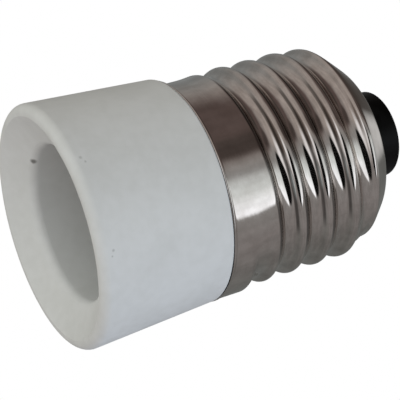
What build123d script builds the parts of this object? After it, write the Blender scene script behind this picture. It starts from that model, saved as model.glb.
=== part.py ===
from build123d import *

import math
import os

# Lamp socket adapter: a large Edison screw cap that carries a smaller Edison screw socket.
# Millimetres. It stands on its mouth rim, with the axis along Z from the mouth to the tip contact.
# The side contact strap lies on the +X side.

# Collar and mouth of the moulded body: its end stands proud of the thread, and it flares to the mouth
collar_step = 0.5
collar_flare = 1.0
collar_length = 16.8
rim_round = 1.0
rim_land = 0.35
dish_depth = 2.4
bore_radius = 9.3
bore_edge_round = 1.2
ledge_depth = 10.6
collar_end_round = 0.4
throat_radius = 5.9
throat_depth = 4.4

# Snap lugs that hold the sleeve's flange on the ledge
lug_count = 3
lug_reach = 0.35
lug_height = 0.9
lug_angle = 24

# Rolled screw shell: lip, skirt, thread and coned end, counted from the collar's end. It sits off the
# axis towards +X, and its skirt leans further. Root share is the groove arc's share of the pitch, and
# the thread was rolled askew: its turns lie lower by thread_tilt on the -Y side, and higher on +Y.
thread_radius = 13.1
thread_pitch = 3.62
thread_depth = 1.05
thread_start = 5.47
thread_tilt = 0.9
full_turns = 3.8
run_in_turns = 0.15
run_out_turns = 0.5
run_out_room = 0.8
root_share = 0.65
shell_sheet = 0.3
shell_offset = 0.13
lip_reach = 0.42
lip_thickness = 0.35
lip_fall = 0.5
lip_soft = 0.06
skirt_length = 3.4
skirt_lean = 0.33
skirt_blend = 4.6
straight_length = 19.6
cone_angle = 42
cone_length = 3.3
end_rise = 1.0
seat_radius = 5.6
shoulder_soft = 0.33
corner_soft = 0.22
tip_hole_radius = 4.35

# Black insulator on the tip
stub_base_radius = 5.5
stub_end_radius = 5.42
stub_length = 4.4
stub_round = 0.35
spigot_length = 4.2

# Tip contact: a rivet through the insulator and the body's floor
shank_radius = 1.4
head_radius = 3.3
head_side = 0.45
head_dome = 0.75
head_sink = 0.3
peen_radius = 2.2
peen_height = 0.55

# Inner socket sleeve, its minor thread radius kept as a plain wall
sleeve_radius = 6.2
entry_radius = 7.2
entry_length = 3.0
entry_taper = 0.9
sleeve_length = 16.5
sleeve_sheet = 0.35

# Centre contact leaf
leaf_width = 4.0
leaf_sheet = 0.3
leaf_back = 3.4
leaf_front = 4.6
leaf_rise = 4.1
leaf_bend = 0.7

# Side contact strap
strap_width = 3.0
strap_sheet = 0.35
strap_outer_leg = 5.2
strap_drop = 1.6
strap_bend = 0.55

# Clearances
stem_gap = 0.2
spigot_gap = 0.2
shank_gap = 0.1
flange_gap = 0.15
sleeve_gap = 0.15
strap_gap = 0.12
contact_gap = 0.03

# Heights and radii that follow
collar_end_radius = thread_radius + collar_step
mouth_radius = collar_end_radius + collar_flare
lip_radius = thread_radius + lip_reach
shoulder_height = collar_length + straight_length
corner_height = shoulder_height + cone_length
shell_end = corner_height + end_rise
cone_slope = math.tan(math.radians(cone_angle))
corner_radius = thread_radius - cone_length * cone_slope
end_slope = (corner_radius - seat_radius) / end_rise
shell_bore = thread_radius - thread_depth - shell_sheet
root_reach = thread_pitch / 2 * root_share
crest_reach = thread_pitch / 2 - root_reach
flank_angle = 2 * math.atan(2 * thread_depth / thread_pitch)
root_arc = root_reach / math.sin(flank_angle)
crest_arc = crest_reach / math.sin(flank_angle)
flange_low = ledge_depth - sleeve_sheet
flange_radius = bore_radius - flange_gap
well_radius = entry_radius + sleeve_sheet + sleeve_gap
sleeve_end = ledge_depth + sleeve_length
floor_height = sleeve_end + throat_depth
insulator_end = shell_end + stub_length
spigot_radius = tip_hole_radius - spigot_gap
spigot_low = shell_end - spigot_length
slot_height = collar_length + strap_drop
strap_inner_x = entry_radius + sleeve_sheet + contact_gap + strap_sheet / 2
strap_reach = math.sqrt(shell_bore**2 - (strap_width / 2) ** 2)
strap_outer_x = shell_offset + strap_reach - contact_gap - strap_sheet / 2


def turned(points, rounds=()):
    """Solid turned about Z from (radius, height) points, with (point, radius) pairs to round."""
    profile = make_face(Polyline(*points, close=True))
    for corner, radius in rounds:
        vertex = profile.vertices().sort_by_distance((*corner, 0))[0]
        profile = fillet(vertex, radius)
    return revolve(Plane.XZ * profile, Axis.Z)


def inside_shell(gap):
    """Corners of the shell's plain form set in by gap, clear of the thread: cone foot, cone end, seat."""
    cone_shift = (gap + run_out_room) / math.cos(math.radians(cone_angle))
    end_shift = gap * math.sqrt(1 + 1 / end_slope**2)
    wall = thread_radius - thread_depth - gap
    foot = shoulder_height + (thread_depth + gap - cone_shift) / cone_slope
    reach = cone_length + end_rise - end_shift
    rise = (seat_radius + reach * end_slope - thread_radius + cone_shift) / (end_slope - cone_slope)
    cone_end = (thread_radius - cone_shift - rise * cone_slope, shoulder_height + rise)
    return [(wall, foot), cone_end, (seat_radius, shell_end - end_shift)]


def make_body():
    """Moulded body: dished mouth and bore, socket well, and the stem that fills the shell."""
    dish_edge = (mouth_radius - rim_round - rim_land, 0)
    bore_edge = (bore_radius, dish_depth)
    rim = (mouth_radius, 0)
    collar_end = (collar_end_radius, collar_length)
    cone_foot, cone_end, seat = inside_shell(shell_sheet + stem_gap)
    hole = shank_radius + shank_gap
    points = [rim, dish_edge, bore_edge]
    points += [(bore_radius, ledge_depth), (well_radius, ledge_depth)]
    points += [(well_radius, sleeve_end), (throat_radius, sleeve_end), (throat_radius, floor_height)]
    points += [(hole, floor_height), (hole, spigot_low)]
    points += [(tip_hole_radius, spigot_low), (tip_hole_radius, seat[1]), seat, cone_end, cone_foot]
    points += [(cone_foot[0], collar_length), collar_end]
    rounds = [(rim, rim_round), (bore_edge, bore_edge_round), (collar_end, collar_end_round)]
    body = turned(points, rounds)

    lug_low = flange_low - contact_gap
    lug_points = [
        (bore_radius + lug_reach, lug_low),
        (bore_radius - lug_reach, lug_low),
        (bore_radius, lug_low - lug_height),
        (bore_radius + lug_reach, lug_low - lug_height),
    ]
    lug = revolve(Plane.XZ * make_face(Polyline(*lug_points, close=True)), Axis.Z, lug_angle)
    for turn in range(lug_count):
        body += Rot(0, 0, 90 + turn * 360 / lug_count - lug_angle / 2) * lug

    slot_width = strap_width + 2 * strap_gap
    half = strap_sheet / 2 + strap_gap
    inner_groove = (strap_inner_x + half, ledge_depth, slot_height + half)
    outer_top = slot_height + strap_outer_leg + strap_gap
    body -= block(0, inner_groove[0], slot_width, inner_groove[1], inner_groove[2])
    body -= block(0, mouth_radius, slot_width, slot_height - half, slot_height + half)
    body -= block(strap_outer_x - half, mouth_radius, slot_width, slot_height - half, outer_top)
    return body


def block(x_low, x_high, width, z_low, z_high):
    """Box between two X and two Z values, centred on Y."""
    middle = Pos((x_low + x_high) / 2, 0, (z_low + z_high) / 2)
    return middle * Box(x_high - x_low, width, z_high - z_low)


def smooth_step(value):
    """Zero below 0, one above 1, with level ends."""
    value = min(max(value, 0), 1)
    return value * value * (3 - 2 * value)


def soft_minimum(first, second, softness):
    """Lower of two values, with the corner between them eased."""
    return (first + second - math.hypot(first - second, softness)) / 2


def soft_maximum(first, second, softness):
    """Higher of two values, with the corner between them eased."""
    return -soft_minimum(-first, -second, softness)


def spread(low, high, rows):
    """Even heights from low up to, but without, high."""
    return [low + (high - low) * row / rows for row in range(rows)]


def arc_drop(radius, reach):
    """Fall of a thread arc at an axial distance from its top."""
    return radius - math.sqrt(radius**2 - reach**2)


def groove_depth(distance):
    """Depth of the rolled groove at an axial distance from its root: root arc, then crest arc."""
    if abs(distance) < root_reach:
        return thread_depth - arc_drop(root_arc, distance)
    return arc_drop(crest_arc, thread_pitch / 2 - abs(distance))


def shell_radius(height, turn):
    """Outer radius of the screw shell at a height and at a share of a turn from +X."""
    cone = thread_radius - (height - shoulder_height) * cone_slope
    end = seat_radius + (shell_end - height) * end_slope
    plain = soft_minimum(soft_minimum(thread_radius, cone, shoulder_soft), end, corner_soft)

    askew = height - thread_tilt * math.sin(2 * math.pi * turn)
    turns_up = (askew - collar_length - thread_start) / thread_pitch - turn
    nearest = round(turns_up)
    along = nearest + turn
    run_in = smooth_step(along / run_in_turns + 1)
    run_out = smooth_step((along - full_turns) / run_out_turns)
    groove = groove_depth((turns_up - nearest) * thread_pitch) * run_in * (1 - run_out)

    upright = 1 - smooth_step((height - collar_length - skirt_length) / skirt_blend)
    lean = skirt_lean * math.cos(2 * math.pi * turn) * upright

    lip_middle = collar_length + lip_thickness * 0.4
    lip = lip_radius - lip_fall * ((height - lip_middle) / lip_thickness) ** 2
    return soft_maximum(plain - groove + lean, lip, lip_soft)


def shell_section(height, point_count=24):
    """Closed outline of the screw shell at one height."""
    points = []
    for step in range(point_count):
        turn = step / point_count
        radius = shell_radius(height, turn)
        angle = 2 * math.pi * turn
        points.append((radius * math.cos(angle), radius * math.sin(angle), height))
    shares = [step / point_count for step in range(point_count + 1)]
    return Wire([Edge.make_spline(points, periodic=True, parameters=shares)])


def cut_faces_in_half(solid):
    """The same solid with its faces parted at the YZ plane, so that none closes on itself."""
    faces = []
    for half in solid.split(Plane.YZ, keep=Keep.BOTH):
        faces += [face for face in half.faces() if face.bounding_box().size.X > contact_gap]
    return Solid(Shell(faces))


def make_screw_shell():
    """Rolled shell: lip, skirt, thread and coned end lofted through their outlines, then hollowed."""
    lip_top = collar_length + 2 * lip_thickness
    skirt_low = collar_length + 4 * lip_thickness
    cone_low = corner_height - end_rise
    thread_rows = math.ceil((cone_low - skirt_low) / thread_pitch * 8)
    heights = spread(collar_length, lip_top, 12) + spread(lip_top, skirt_low, 3)
    heights += spread(skirt_low, cone_low, thread_rows) + spread(cone_low, shell_end, 16)
    heights.append(shell_end)
    outside = Solid.make_loft([shell_section(height) for height in heights])

    cone_foot, cone_end, seat = inside_shell(shell_sheet)
    low = collar_length - lip_thickness
    inside = turned([(0, low), (cone_foot[0], low), cone_foot, cone_end, seat, (0, seat[1])])
    upward = (Align.CENTER, Align.CENTER, Align.MIN)
    skirt_bore = Cylinder(thread_radius - shell_sheet, skirt_length + lip_thickness, align=upward)
    inside += Pos(skirt_lean, 0, low) * skirt_bore
    inside += Pos(0, 0, shell_end) * Cylinder(tip_hole_radius, 4 * end_rise)
    return Pos(shell_offset, 0, 0) * cut_faces_in_half(outside.cut(inside))


def make_tip_insulator():
    """Black plug: stub outside the shell's end, spigot through it into the body."""
    hole = shank_radius + shank_gap
    sink = head_radius + shank_gap
    stub_edge = (stub_end_radius, insulator_end)
    points = [(hole, spigot_low), (spigot_radius, spigot_low), (spigot_radius, shell_end)]
    points += [(stub_base_radius, shell_end), stub_edge, (sink, insulator_end)]
    points += [(sink, insulator_end - head_sink), (hole, insulator_end - head_sink)]
    return turned(points, [(stub_edge, stub_round)])


def make_tip_contact():
    """Rivet: domed head on the insulator, shank through the floor, peened over the leaf."""
    seat = insulator_end - head_sink
    rim = seat + head_side
    peen_high = floor_height - leaf_sheet
    peen_low = peen_high - peen_height
    dome_radius = (head_radius**2 + head_dome**2) / (2 * head_dome)
    outline = Polyline(
        (0, rim + head_dome),
        (0, peen_low),
        (peen_radius, peen_low),
        (peen_radius, peen_high),
        (shank_radius, peen_high),
        (shank_radius, seat),
        (head_radius, seat),
        (head_radius, rim),
    )
    dome = RadiusArc((head_radius, rim), (0, rim + head_dome), -dome_radius)
    profile = make_face(outline + dome)
    profile = fillet(profile.vertices().sort_by_distance((peen_radius, peen_low, 0))[0], peen_height * 0.7)
    return revolve(Plane.XZ * profile, Axis.Z)


def make_sleeve():
    """Thin socket sleeve: flange on the ledge, wide entry, and the wall that takes the lamp cap."""
    entry_end = ledge_depth + entry_length
    neck = entry_end + entry_taper
    inner = [(entry_radius, flange_low), (entry_radius, entry_end), (sleeve_radius, neck)]
    inner += [(sleeve_radius, sleeve_end)]
    outer = [(sleeve_radius, sleeve_end), (sleeve_radius, neck), (entry_radius, entry_end)]
    outer += [(entry_radius, ledge_depth)]
    outer = [(radius + sleeve_sheet, height) for radius, height in outer]
    flange = [(flange_radius, ledge_depth), (flange_radius, flange_low)]
    return turned(inner + outer + flange, [(inner[0], sleeve_sheet * 0.8)])


def bent_strip(points, bend, sheet, width, plane):
    """Strip of even thickness bent along a path, centred on the path's plane."""
    path = FilletPolyline(*points, radius=bend)
    return extrude(plane * trace(path, sheet), width / 2, both=True)


def make_leaf():
    """Centre contact: a strip on the floor, folded back so that its tongue stands over the rivet."""
    base = floor_height - leaf_sheet / 2
    tongue = floor_height - leaf_rise
    points = [
        (-leaf_back, base),
        (leaf_front, base),
        (leaf_front - leaf_bend / 2, base - leaf_rise * 0.6),
        (-leaf_back * 0.45, tongue),
        (-leaf_back, tongue + leaf_bend),
    ]
    leaf = bent_strip(points, leaf_bend, leaf_sheet, leaf_width, Plane.YZ)
    return leaf - Pos(0, 0, base) * Cylinder(shank_radius + shank_gap, 3 * leaf_sheet)


def make_strap():
    """Side contact: down the sleeve's entry, out through the stem wall and up under the shell."""
    points = [
        (strap_inner_x, ledge_depth + strap_gap),
        (strap_inner_x, slot_height),
        (strap_outer_x, slot_height),
        (strap_outer_x, slot_height + strap_outer_leg),
    ]
    return bent_strip(points, strap_bend, strap_sheet, strap_width, Plane.XZ)


pieces = {
    "body": make_body(),
    "e27_screw_shell": make_screw_shell(),
    "tip_insulator": make_tip_insulator(),
    "tip_contact": make_tip_contact(),
    "e14_screw_sleeve": make_sleeve(),
    "centre_contact_leaf": make_leaf(),
    "side_contact_strap": make_strap(),
}

os.makedirs("parts", exist_ok=True)
for node, shape in pieces.items():
    shape.label = node
    export_step(shape, f"parts/{node}.step")
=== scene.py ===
import bpy
import math
from mathutils import Matrix, Vector


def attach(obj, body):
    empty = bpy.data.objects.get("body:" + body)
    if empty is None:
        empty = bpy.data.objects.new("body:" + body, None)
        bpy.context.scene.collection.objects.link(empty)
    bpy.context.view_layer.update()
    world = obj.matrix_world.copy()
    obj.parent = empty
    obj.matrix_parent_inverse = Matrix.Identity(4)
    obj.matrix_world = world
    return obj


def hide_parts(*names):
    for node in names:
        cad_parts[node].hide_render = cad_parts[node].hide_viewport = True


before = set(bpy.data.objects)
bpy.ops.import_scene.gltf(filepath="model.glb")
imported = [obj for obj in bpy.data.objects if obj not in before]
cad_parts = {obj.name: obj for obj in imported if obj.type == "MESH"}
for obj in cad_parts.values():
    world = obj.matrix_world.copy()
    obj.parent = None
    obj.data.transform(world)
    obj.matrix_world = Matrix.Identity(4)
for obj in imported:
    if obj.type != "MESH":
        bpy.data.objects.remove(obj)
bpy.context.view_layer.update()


# Body: one moulding in satin white thermoplastic, with a dished mouth, a plain bore and a stem that
# fills the screw shell. The moulded skin is slightly cloudy, and a few dark specks lie in it.
mm = 0.001


class Flow:
    """One socket of a node tree, so that node maths reads as Python expressions."""

    def __init__(self, tree, socket=None):
        self.tree = tree
        self.socket = socket

    def add(self, kind, settings=None, sockets=None, output=0):
        """An output of a new node, with its settings and its inputs given."""
        node = self.tree.nodes.new(kind)
        for name, value in (settings or {}).items():
            setattr(node, name, value)
        for name, value in (sockets or {}).items():
            if isinstance(value, Flow):
                self.tree.links.new(value.socket, node.inputs[name])
            else:
                node.inputs[name].default_value = value
        return Flow(self.tree, node.outputs[output] if node.outputs else None)

    def math(self, operation, *values):
        return self.add("ShaderNodeMath", {"operation": operation}, dict(enumerate((self, *values))))

    def __add__(self, other):
        return self.math("ADD", other)

    def __sub__(self, other):
        return self.math("SUBTRACT", other)

    def __mul__(self, other):
        return self.math("MULTIPLY", other)

    def __truediv__(self, other):
        return self.math("DIVIDE", other)

    def __rsub__(self, other):
        return self.add("ShaderNodeMath", {"operation": "SUBTRACT"}, {0: other, 1: self})

    def step(self, low, high, start=0.0, end=1.0):
        """Smooth change from start to end while this value goes from low to high."""
        ends = {"From Min": low, "From Max": high, "To Min": start, "To Max": end}
        return self.add("ShaderNodeMapRange", {"interpolation_type": "SMOOTHSTEP"}, {"Value": self, **ends})

    def parts(self):
        """X, Y and Z of this vector."""
        split = self.add("ShaderNodeSeparateXYZ", None, {0: self}).socket.node
        return [Flow(self.tree, socket) for socket in split.outputs]

    def scaled(self, x, y, z):
        """This vector with each part multiplied."""
        return self.add("ShaderNodeVectorMath", {"operation": "MULTIPLY"}, {0: self, 1: (x, y, z)})

    def times(self, colour, more):
        """This value times a colour, with more added."""
        return self.add("ShaderNodeVectorMath", {"operation": "MULTIPLY_ADD"}, {0: self, 1: colour, 2: more})

    def noise(self, scale, detail=2.0, roughness=0.5):
        """Noise value at this point, about 0 to 1."""
        values = {"Vector": self, "Scale": scale, "Detail": detail, "Roughness": roughness}
        return self.add("ShaderNodeTexNoise", None, values)

    def tint(self, first, second):
        """First colour where this value is 0, second where it is 1."""
        colours = {0: self}
        for place, colour in ((6, first), (7, second)):
            colours[place] = colour if isinstance(colour, Flow) else (*colour, 1.0)
        return self.add("ShaderNodeMix", {"data_type": "RGBA"}, colours, 2)

    def bump(self, strength, distance):
        """Surface normal pushed in and out by this height."""
        values = {"Height": self, "Strength": strength, "Distance": distance}
        return self.add("ShaderNodeBump", None, values)


def new_finish(name):
    """An empty material with its object coordinates."""
    finish = bpy.data.materials.new(name)
    finish.use_nodes = True
    finish.node_tree.nodes.clear()
    point = Flow(finish.node_tree).add("ShaderNodeTexCoord", output="Object")
    return finish, point


def close_finish(point, sockets):
    """Principled surface of a material, wired to its output."""
    surface = point.add("ShaderNodeBsdfPrincipled", None, sockets)
    point.add("ShaderNodeOutputMaterial", None, {"Surface": surface})


def satin_white_plastic():
    """Cloudy white plastic, with painted shade darkening the wall deep in the hole, and dark specks near the
    mouth.
    """
    finish, point = new_finish("satin_white_plastic")
    bore_radius, bore_edge = 9.3 * mm, 9.55 * mm
    speck_colour = (0.10, 0.095, 0.085)
    specks = [  # place in mm, size in mm, strength
        ((-8.17, 4.87, 2.39), 0.62, 0.8),
        ((4.24, -13.86, 1.70), 0.30, 0.35),
        ((4.82, -13.69, 1.47), 0.22, 0.40),
        ((-6.23, -13.11, 1.42), 0.34, 0.28),
        ((-5.66, -13.34, 1.74), 0.26, 0.34),
    ]
    cloud = point.noise(170, 3)
    fine_cloud = point.noise(900, 3)
    grain = point.noise(7000, 2)
    x, y, z = point.parts()
    radius = (x * x + y * y).math("SQRT")
    painted_bore_shade = radius.step(bore_edge, bore_radius) * z.step(2.0 * mm, 4.0 * mm)
    clouds = (cloud * 0.6 + fine_cloud * 0.4).step(0.3, 0.7)
    colour = clouds.tint((0.585, 0.590, 0.580), (0.635, 0.640, 0.635))
    # Painted shade: the wall deep in the hole is tinted darker, standing in for the shade that falls there.
    colour = (painted_bore_shade * 0.2).tint(colour, (0.47, 0.475, 0.455))
    for place, size, strength in specks:
        middle = tuple(value * mm for value in place)
        ends = {0: point, 1: middle}
        away = point.add("ShaderNodeVectorMath", {"operation": "DISTANCE"}, ends, "Value")
        spot = (away + grain * 0.12 * mm).step(size * mm, size * 0.35 * mm, 0.0, strength)
        colour = spot.tint(colour, speck_colour)
    close_finish(point, {
        "Base Color": colour,
        "Roughness": fine_cloud.step(0.25, 0.75, 0.40, 0.52),
        "Specular IOR Level": 0.4,
        "Normal": (grain * 0.5 + fine_cloud * 0.5).bump(0.12, 0.03 * mm),
    })
    return finish


def dress(node, finish):
    """Gives a CAD node its finish."""
    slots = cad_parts[node].data.materials
    slots.clear()
    slots.append(finish)


dress("body", satin_white_plastic())


# Screw shell: thin brass sheet, rolled to an Edison thread on a mandrel and nickel plated. Its lip is
# turned out against the collar, the thread runs in from a plain skirt and out into the coned end.
def rolled_groove(height, turn, size):
    """Depth of a rolled thread groove of two arcs at a height and a share of a turn."""
    pitch, depth, share = size["Pitch"], size["Depth"], size["Root share"]
    turns_up = (height - size["First groove"]) / pitch - turn
    nearest = turns_up.math("ROUND")
    along = nearest + turn
    away = (turns_up - nearest).math("ABSOLUTE") * pitch
    half = pitch * 0.5
    flank = ((depth / half).math("ARCTANGENT") * 2).math("SINE")
    root_arc = half * share / flank
    crest_arc = half * (1 - share) / flank
    root_drop = root_arc - (root_arc * root_arc - away * away).math("MAXIMUM", 0.0).math("SQRT")
    to_crest = half - away
    crest_drop = crest_arc - (crest_arc * crest_arc - to_crest * to_crest).math("MAXIMUM", 0.0).math("SQRT")
    in_root = away.math("LESS_THAN", half * share)
    groove = in_root * (depth - root_drop) + (1 - in_root) * crest_drop
    start_share = (along / size["Run in"] + 1).step(0.0, 1.0)
    end_share = ((along - size["Full turns"]) / size["Run out"]).step(0.0, 1.0, 1.0, 0.0)
    return groove * start_share * end_share


def softer(first, second, softness):
    """Lower of two values with an eased corner."""
    apart = first - second
    return (first + second - (apart * apart + softness * softness).math("SQRT")) * 0.5


def higher(first, second, softness):
    """Higher of two values with an eased corner."""
    apart = first - second
    return (first + second + (apart * apart + softness * softness).math("SQRT")) * 0.5


def open_tree(name, sizes):
    """A Geometry Nodes tree with a named input for each size."""
    tree = bpy.data.node_groups.new(name, "GeometryNodeTree")
    tree.interface.new_socket(name="Geometry", in_out="OUTPUT", socket_type="NodeSocketGeometry")
    keys = {}
    for label, value in sizes.items():
        item = tree.interface.new_socket(name=label, in_out="INPUT", socket_type="NodeSocketFloat")
        item.default_value = value
        keys[label] = item.identifier
    source = tree.nodes.new("NodeGroupInput")
    size = {label: Flow(tree, source.outputs[label]) for label in sizes}
    return tree, keys, size


def wrap_sheet(tree, columns, rows, place, finish):
    """Grid of a sheet, bent round by place(turn share, height share), then closed at its seam."""
    start = Flow(tree)
    sizes = {"Size X": 1.0, "Size Y": 1.0, "Vertices X": columns, "Vertices Y": rows}
    grid = start.add("GeometryNodeMeshGrid", None, sizes)
    across, up, _ = start.add("GeometryNodeInputPosition").parts()
    x, y, z = place(across + 0.5, up + 0.5)
    spot = start.add("ShaderNodeCombineXYZ", None, {0: x, 1: y, 2: z})
    bent = start.add("GeometryNodeSetPosition", None, {"Geometry": grid, "Position": spot})
    closed = start.add("GeometryNodeMergeByDistance", None, {"Geometry": bent, "Distance": 0.002 * mm})
    smooth = start.add("GeometryNodeSetShadeSmooth", None, {"Geometry": closed})
    whole = start.add("GeometryNodeRealizeInstances", None, {"Geometry": smooth})
    coated = start.add("GeometryNodeSetMaterial", None, {"Geometry": whole, "Material": finish})
    start.add("NodeGroupOutput", None, {"Geometry": coated})


def made_piece(name, tree, keys, sizes, sheet):
    """The tree's mesh as a plain object, with the sheet's thickness behind its faces."""
    piece = bpy.data.objects.new(name, bpy.data.meshes.new(name))
    bpy.context.scene.collection.objects.link(piece)
    rolling = piece.modifiers.new("rolling", "NODES")
    rolling.node_group = tree
    for label, value in sizes.items():
        rolling[keys[label]] = value
    thickness = piece.modifiers.new("sheet", "SOLIDIFY")
    thickness.thickness = sheet
    thickness.offset = -1.0
    thickness.use_even_offset = True
    bpy.context.view_layer.update()
    shaped = piece.evaluated_get(bpy.context.evaluated_depsgraph_get())
    piece.data = bpy.data.meshes.new_from_object(shaped)
    piece.modifiers.clear()
    return piece


def rolled_nickel(name, first_groove, pitch, full_turns, off_axis, tilt, rough, relief):
    """Nickel plate with fine lines along a thread, with a painted dark reflection along one flank and
    painted shade and dark reflection in one crease of each turn, on the -Y side only.
    """
    finish, point = new_finish(name)
    x, y, z = point.parts()
    x = x - off_axis
    around = y.math("ARCTAN2", x) / (2 * math.pi)
    turns_up = (z - y * tilt - first_groove) / pitch - around
    nearest = turns_up.math("ROUND")
    from_root = turns_up - nearest
    along = nearest + around

    phase = turns_up * (2 * math.pi)
    across = {0: phase.math("COSINE") * 2.2, 1: phase.math("SINE") * 2.2, 2: z * 300 + x * 60}
    rolling = point.add("ShaderNodeCombineXYZ", None, across)
    spread = {"Vector": rolling, "W": y * 60, "Scale": 1.0, "Detail": 3.0}
    lines = rolling.add("ShaderNodeTexNoise", {"noise_dimensions": "4D"}, spread)
    wave = point.scaled(1.0, 1.0, 1.6).noise(140, 2)
    film = point.noise(420, 4, 0.6)
    pits = point.noise(5200, 2)

    facing = y * -1.0 / (x * x + y * y).math("SQRT")
    rolled = along.step(-0.15, 0.0) * along.step(full_turns, full_turns - 0.4)
    # Painted dark reflection: a band along one flank of each turn, only on the side facing -Y.
    flank = from_root.step(-0.50, -0.44) * from_root.step(-0.17, -0.27, 0.0, 0.72) * facing.step(0.42, 0.74)
    # Painted shade and dark reflection: a thin line in one crease of each turn, only on the side facing -Y.
    crease = (from_root - 0.28).math("ABSOLUTE").step(0.055, 0.018, 0.0, 0.72) * facing.step(0.70, 0.82)
    painted_dark_reflections = flank.math("MAXIMUM", crease) * rolled * lines.step(0.25, 0.55, 0.75, 1.0)
    colour = film.step(0.3, 0.72).tint((0.69, 0.645, 0.61), (0.565, 0.52, 0.485))
    close_finish(point, {
        # Painted dark reflections and shade: the metal's colour goes nearly black along the flank band and
        # crease line.
        "Base Color": painted_dark_reflections.tint(colour, (0.03, 0.025, 0.02)),
        "Metallic": 1.0,
        "Roughness": film.step(0.3, 0.8, rough, rough + 0.05) + lines.step(0.35, 0.75, 0.0, 0.04),
        "Normal": (lines + wave * 0.8 + pits * 0.06).bump(relief, 0.02 * mm),
    })
    return finish


shell_sizes = {
    "Low end": 16.8 * mm,
    "Length": 23.9 * mm,
    "Off axis": 0.13 * mm,
    "Thread radius": 13.1 * mm,
    "Pitch": 3.62 * mm,
    "Depth": 1.05 * mm,
    "Root share": 0.65,
    "First groove": 5.47 * mm,
    "Full turns": 3.8,
    "Run in": 0.15,
    "Run out": 0.5,
    "Thread tilt": 0.9 * mm,
    "Shoulder": 19.6 * mm,
    "Shoulder soft": 0.33 * mm,
    "Cone slope": math.tan(math.radians(42)),
    "End slope": 4.529,
    "End soft": 0.22 * mm,
    "Seat radius": 5.6 * mm,
    "Lip radius": 13.52 * mm,
    "Lip thickness": 0.35 * mm,
    "Lip fall": 0.5 * mm,
    "Lip soft": 0.06 * mm,
    "Skirt length": 3.4 * mm,
    "Skirt blend": 4.6 * mm,
    "Skirt lean": 0.33 * mm,
    "Row crowding": 1.45,
}
shell_tree, shell_keys, shell_size = open_tree("rolled_screw_shell", shell_sizes)


def place_on_shell(turn, share):
    """Place of a point on the shell's outside, with more rows near the lip."""
    size = shell_size
    rise = share.math("POWER", size["Row crowding"]) * size["Length"]
    angle = turn * (2 * math.pi)
    cone = size["Thread radius"] - (rise - size["Shoulder"]) * size["Cone slope"]
    end = size["Seat radius"] + (size["Length"] - rise) * size["End slope"]
    plain = softer(softer(size["Thread radius"], cone, size["Shoulder soft"]), end, size["End soft"])
    askew = rise - angle.math("SINE") * size["Thread tilt"]
    upright = ((rise - size["Skirt length"]) / size["Skirt blend"]).step(0.0, 1.0, 1.0, 0.0)
    lean = angle.math("COSINE") * size["Skirt lean"] * upright
    off_lip = (rise - size["Lip thickness"] * 0.4) / size["Lip thickness"]
    lip = size["Lip radius"] - off_lip * off_lip * size["Lip fall"]
    radius = higher(plain - rolled_groove(askew, turn, size) + lean, lip, size["Lip soft"])
    x = angle.math("COSINE") * radius + size["Off axis"]
    return x, angle.math("SINE") * radius, rise + size["Low end"]


shell_finish = rolled_nickel(
    "rolled_nickel",
    first_groove=shell_sizes["Low end"] + shell_sizes["First groove"],
    pitch=shell_sizes["Pitch"],
    full_turns=shell_sizes["Full turns"],
    off_axis=shell_sizes["Off axis"],
    tilt=shell_sizes["Thread tilt"] / shell_sizes["Thread radius"],
    rough=0.04,
    relief=0.25,
)
wrap_sheet(shell_tree, 193, 220, place_on_shell, shell_finish)
shell = made_piece("screw_shell", shell_tree, shell_keys, shell_sizes, 0.25 * mm)
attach(shell, "root")
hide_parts("e27_screw_shell")


# Tip insulator: a plug moulded in black thermoset. Its spigot goes through the shell's end into the
# body, its stub clamps the coned end, and the tip rivet's head sits in its sunk face.
def black_insulator():
    """Deep black moulding with a faint cloud and grain."""
    finish, point = new_finish("black_insulator")
    cloud = point.noise(500, 3)
    grain = point.noise(6000, 2)
    close_finish(point, {
        "Base Color": cloud.step(0.3, 0.75).tint((0.0015, 0.0015, 0.0015), (0.004, 0.004, 0.0038)),
        "Roughness": (cloud * 0.7 + grain * 0.3).step(0.3, 0.7, 0.22, 0.45),
        "Specular IOR Level": 0.08,
        "Normal": (grain * 0.6 + cloud).bump(0.25, 0.03 * mm),
    })
    return finish


dress("tip_insulator", black_insulator())


# Contacts: the tip rivet, the folded spring leaf and the side strap are pressed from brass, with the
# rivet's head left bright and the strip faces slightly darkened.
def pressed_brass(name, bright, dark):
    """Brass with stains and fine drawing lines."""
    finish, point = new_finish(name)
    stain = point.noise(700, 4, 0.6)
    draw = point.scaled(6.0, 0.3, 6.0).noise(1500, 2)
    close_finish(point, {
        "Base Color": stain.step(0.3, 0.75).tint(bright, dark),
        "Metallic": 1.0,
        "Roughness": stain.step(0.3, 0.75, 0.20, 0.36),
        "Normal": (draw + stain * 0.6).bump(0.15, 0.015 * mm),
    })
    return finish


dress("tip_contact", pressed_brass("bright_brass", (0.76, 0.60, 0.33), (0.62, 0.46, 0.23)))
strip_brass = pressed_brass("strip_brass", (0.70, 0.52, 0.27), (0.52, 0.37, 0.18))
dress("centre_contact_leaf", strip_brass)
dress("side_contact_strap", strip_brass)


# Socket sleeve: thin sheet with a flange on the bore's ledge, a wide entry, and a rolled thread that
# takes the smaller lamp cap. It is nickel plated, and duller than the screw shell.
sleeve_sizes = {
    "Flange radius": 9.15 * mm,
    "Flange height": 10.25 * mm,
    "Flange soft": 0.35 * mm,
    "Entry radius": 7.2 * mm,
    "Entry end": 13.6 * mm,
    "Wall start": 14.5 * mm,
    "Wall radius": 6.2 * mm,
    "Length": 16.85 * mm,
    "Pitch": 2.82 * mm,
    "Depth": 0.75 * mm,
    "Root share": 0.5,
    "First groove": 15.6 * mm,
    "Full turns": 3.3,
    "Run in": 0.3,
    "Run out": 0.3,
}
sleeve_tree, sleeve_keys, sleeve_size = open_tree("rolled_socket_sleeve", sleeve_sizes)


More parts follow.
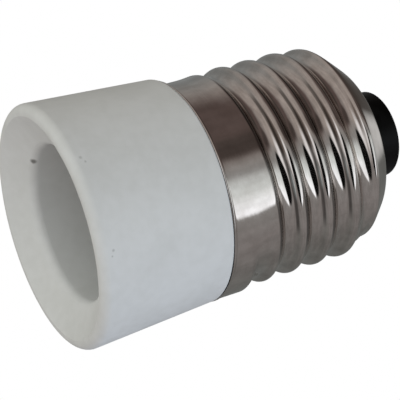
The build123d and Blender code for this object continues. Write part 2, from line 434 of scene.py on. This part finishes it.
def place_on_sleeve(turn, share):
    """Place of a point on the sleeve's inside, from the flange's rim up the wall."""
    size = sleeve_size
    flange = size["Flange radius"] - size["Entry radius"]
    along = share * (flange + size["Length"]) - flange
    up = (along + (along * along + size["Flange soft"] * size["Flange soft"]).math("SQRT")) * 0.5
    height = up + size["Flange height"]
    narrow = height.step(size["Entry end"], size["Wall start"])
    entry = size["Entry radius"] + up - along
    back = turn * -1.0
    groove = rolled_groove(height, back, size)
    radius = entry + narrow * (size["Wall radius"] - size["Entry radius"]) + groove
    angle = back * (2 * math.pi)
    return angle.math("COSINE") * radius, angle.math("SINE") * radius, height


sleeve_finish = rolled_nickel(
    "sleeve_nickel",
    first_groove=sleeve_sizes["First groove"],
    pitch=sleeve_sizes["Pitch"],
    full_turns=sleeve_sizes["Full turns"],
    off_axis=0.0,
    tilt=0.0,
    rough=0.2,
    relief=0.08,
)
wrap_sheet(sleeve_tree, 129, 170, place_on_sleeve, sleeve_finish)
sleeve = made_piece("socket_sleeve", sleeve_tree, sleeve_keys, sleeve_sizes, 0.3 * mm)
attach(sleeve, "root")
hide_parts("e14_screw_sleeve")


# Studio: a pale floor that is seen only from above, and a white surround. The nickel mirrors one tall
# strip light beside the view, a black patch below it, and a brown and grey room.
floor_mesh = bpy.data.meshes.new("floor")
floor_mesh.from_pydata([(-1, -1, 0), (1, -1, 0), (1, 1, 0), (-1, 1, 0)], [], [(0, 1, 2, 3)])
floor = bpy.data.objects.new("floor", floor_mesh)
floor.location.z = -0.05 * mm
bpy.context.scene.collection.objects.link(floor)
floor_finish, point = new_finish("pale_floor")
pale = point.add("ShaderNodeBsdfPrincipled", None, {
    "Base Color": point.noise(30, 2).step(0.3, 0.7).tint((0.88, 0.88, 0.88), (0.92, 0.92, 0.92)),
    "Roughness": 0.9,
    "Emission Color": (1.0, 1.0, 1.0, 1.0),
    "Emission Strength": 0.4,
})
x, y, z = point.parts()
far = (x * x + y * y).math("SQRT").step(0.10, 0.45)
under = point.add("ShaderNodeNewGeometry", output="Backfacing")
clear = point.add("ShaderNodeBsdfTransparent")
faded = point.add("ShaderNodeMixShader", None, {0: under.math("MAXIMUM", far), 1: pale, 2: clear})
point.add("ShaderNodeOutputMaterial", None, {"Surface": faded})
floor_mesh.materials.append(floor_finish)
floor.visible_diffuse = False
floor.visible_glossy = False
floor.visible_transmission = False
floor.visible_shadow = False

world = bpy.data.worlds.new("studio")
bpy.context.scene.world = world
world.use_nodes = True
world.node_tree.nodes.clear()
way = Flow(world.node_tree).add("ShaderNodeTexCoord", output="Generated")
x, y, z = way.parts()
turn = x.math("ARCTAN2", y * -1.0) * (180 / math.pi)
clutter = way.scaled(1.0, 1.0, 0.5).noise(5, 3)


def patch(middle, height, half_width, half_height, soft, slant=0.0):
    """Share of a soft oval patch, in degrees from the -Y side towards +X and in height."""
    across = (turn - middle + (z - height) * slant) / half_width
    up = (z - height) / half_height
    return (across * across + up * up).math("SQRT").step(1 + soft, 1 - soft)


room_edge = (-65 - turn).math("MAXIMUM", 0.0) * 0.0085 + turn.step(-62, -42, 0.07, 0.16)
brown_room = (z - room_edge.math("MINIMUM", 0.56)).step(-0.13, 0.23) * turn.step(-10, -29)
bottom = z.step(-0.86, -0.92)
lowest = z.step(-0.80, -0.963) * turn.step(34, -20) * turn.step(-120, -95)
place = turn + (z.math("MINIMUM", 0.41) - 0.41) * 20
strip = place.step(-6, 14.5) * (turn + z * 18).step(52, 47.5) * z.step(-0.15, -0.06)
strip_light = place.step(14, 40).tint((0.92, 1.0, 1.02), (1.42, 1.50, 1.60))
grey, brown = (0.160, 0.165, 0.160), (0.158, 0.13, 0.116)
mirrored = turn.step(-150, -75).tint((0.245, 0.258, 0.258), (0.435, 0.391, 0.369))
surroundings = [
    # Walls at the height of the object
    (z.step(-0.37, 0.03) * turn.step(-110, -48), (0.317, 0.287, 0.274)),
    (turn.step(-26, 0) * z.step(-0.94, -0.65), (0.335, 0.336, 0.335)),
    (turn.step(28, 78), (0.265, 0.25, 0.25)),
    (turn.step(60, 152), grey),
    # Brown room on the -X side, which darkens with height
    (brown_room, (0.121, 0.092, 0.086)),
    (z.step(0.52, 0.74) * turn.step(-40, -70), (0.065, 0.055, 0.05)),
    (turn.step(-156, -180), grey),
    (patch(-31, 0.45, 11, 0.35, 0.5), (0.075, 0.06, 0.055)),
    # Bottom, with a pale sheet
    (bottom * turn.step(-120, -95), brown),
    (bottom * turn.step(15, 74), (0.566, 0.63, 0.655)),
    (patch(4, -0.735, 32, 0.24, 0.45), (0.98, 0.99, 1.02)),
    (lowest, brown),
    # Top, strip light, black patch and a lamp behind
    (z.step(0.88, 0.99) * turn.step(-36, -8), (0.485, 0.526, 0.54)),
    (strip, strip_light),
    (patch(23, -0.35, 31, 0.41, 0.10, 22), (0.003, 0.003, 0.003)),
    ((y * 0.40 + z * 0.917).step(0.988, 0.9995), (0.62, 0.63, 0.63)),
]
for share, colour in surroundings:
    mirrored = share.tint(mirrored, colour)
mirrored = clutter.step(0.3, 0.7, 0.90, 1.08).times(mirrored, (0.0, 0.0, 0.0))

from_low = z.times((-0.25, -0.24, -0.19), (x * z).times((0.84, 1.01, 1.13), (0.609, 0.605, 0.605)))
from_front = y.times((-0.25, -0.29, -0.31), from_low)
from_side = x.times((0.14, 0.19, 0.28), from_front)
limits = {0: from_side, 1: (0.06, 0.06, 0.06)}
shone = way.add("ShaderNodeVectorMath", {"operation": "MAXIMUM"}, limits)
rays = way.add("ShaderNodeLightPath").socket.node.outputs
camera_ray, glossy_ray, clear_ray = (
    Flow(world.node_tree, rays[f"Is {kind} Ray"]) for kind in ("Camera", "Glossy", "Transmission")
)
white = camera_ray.math("MAXIMUM", clear_ray)
seen = white.tint(glossy_ray.tint(shone, mirrored), (1.0, 1.0, 1.0))
light = way.add("ShaderNodeBackground", None, {"Color": seen, "Strength": 1.0})
way.add("ShaderNodeOutputWorld", None, {"Surface": light})

lens = bpy.data.cameras.new("camera")
lens.sensor_width = 36
lens.lens = 138.4
lens.clip_start = 0.01
camera = bpy.data.objects.new("camera", lens)
right = Vector((0.2860, -0.3955, 0.8728))
upward = Vector((-0.9582, -0.1180, 0.2605))
turned = Matrix((right, upward, right.cross(upward))).transposed().to_4x4()
camera.matrix_world = Matrix.Translation((1.737 * mm, -166.5 * mm, -56.14 * mm)) @ turned
bpy.context.scene.collection.objects.link(camera)
bpy.context.scene.camera = camera
bpy.context.scene.view_settings.view_transform = "Standard"
